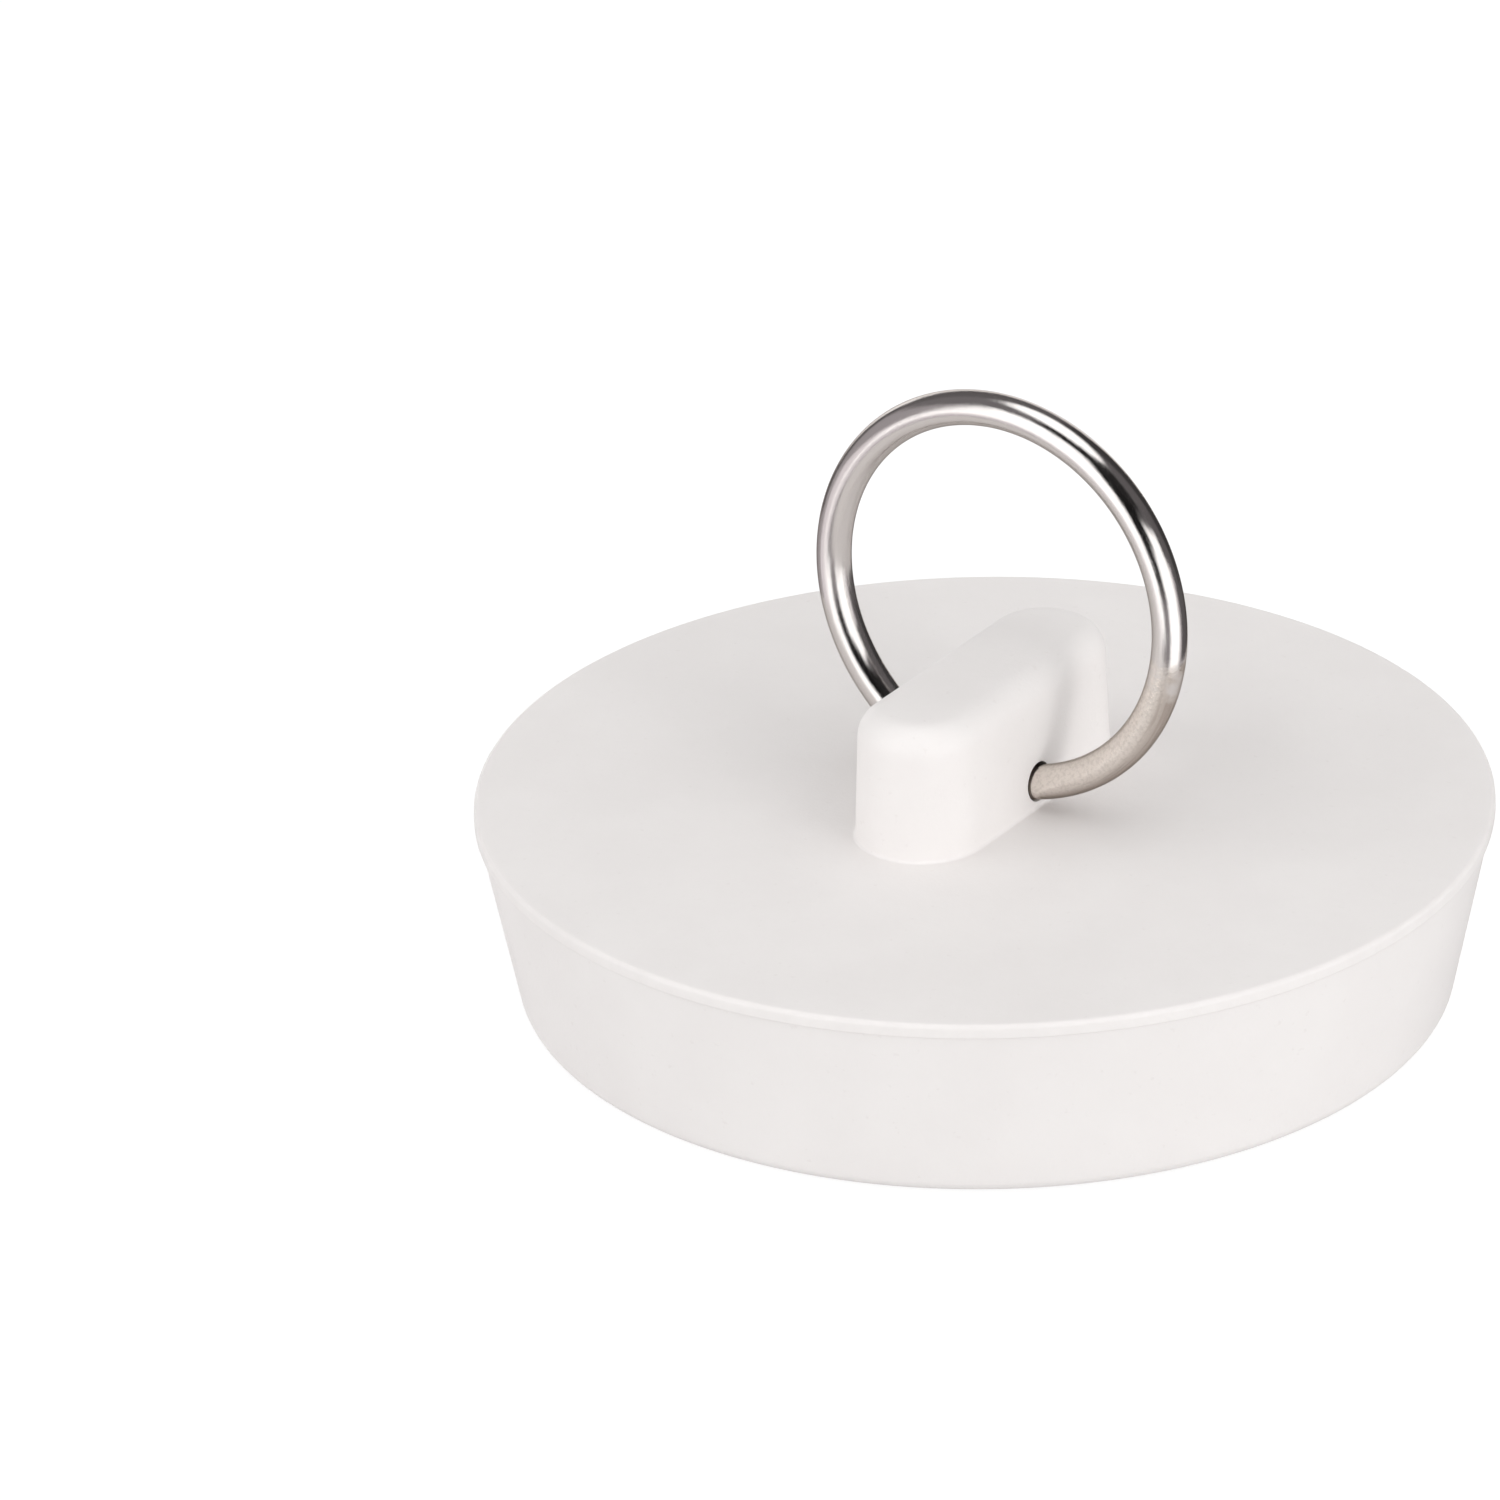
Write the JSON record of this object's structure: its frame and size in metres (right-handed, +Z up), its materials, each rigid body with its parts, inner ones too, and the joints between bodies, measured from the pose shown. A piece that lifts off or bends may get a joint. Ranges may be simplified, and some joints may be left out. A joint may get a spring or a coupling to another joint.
{
  "type": "drain stopper",
  "caption": "Rubber drain stopper: tapered plug with a thin lip, a hollow underside and a grip lug, whose eye holds a swinging steel pull ring.",
  "frame": {"origin": "centre of the rim that the stopper stands on, on the plug's axis", "axes": "+Z up along the plug's axis, +Y along the grip lug, +X across the lug, through the eye that the ring swings in"},
  "size_m": [0.048, 0.048, 0.0299],
  "materials": {
    "white_rubber": "matte moulded rubber",
    "ring_steel": "bright drawn stainless wire"
  },
  "bodies": {
    "stopper": {"stopper_body": "white_rubber"},
    "ring": {"pull_ring": "ring_steel"}
  },
  "joints": [
    {"name": "ring_swing", "type": "hinge", "parent": "stopper", "child": "ring", "pos_m": [0, 0, 0.01117], "axis": [0.9951, 0, -0.099], "range_deg": [-85, 89]}
  ]
}
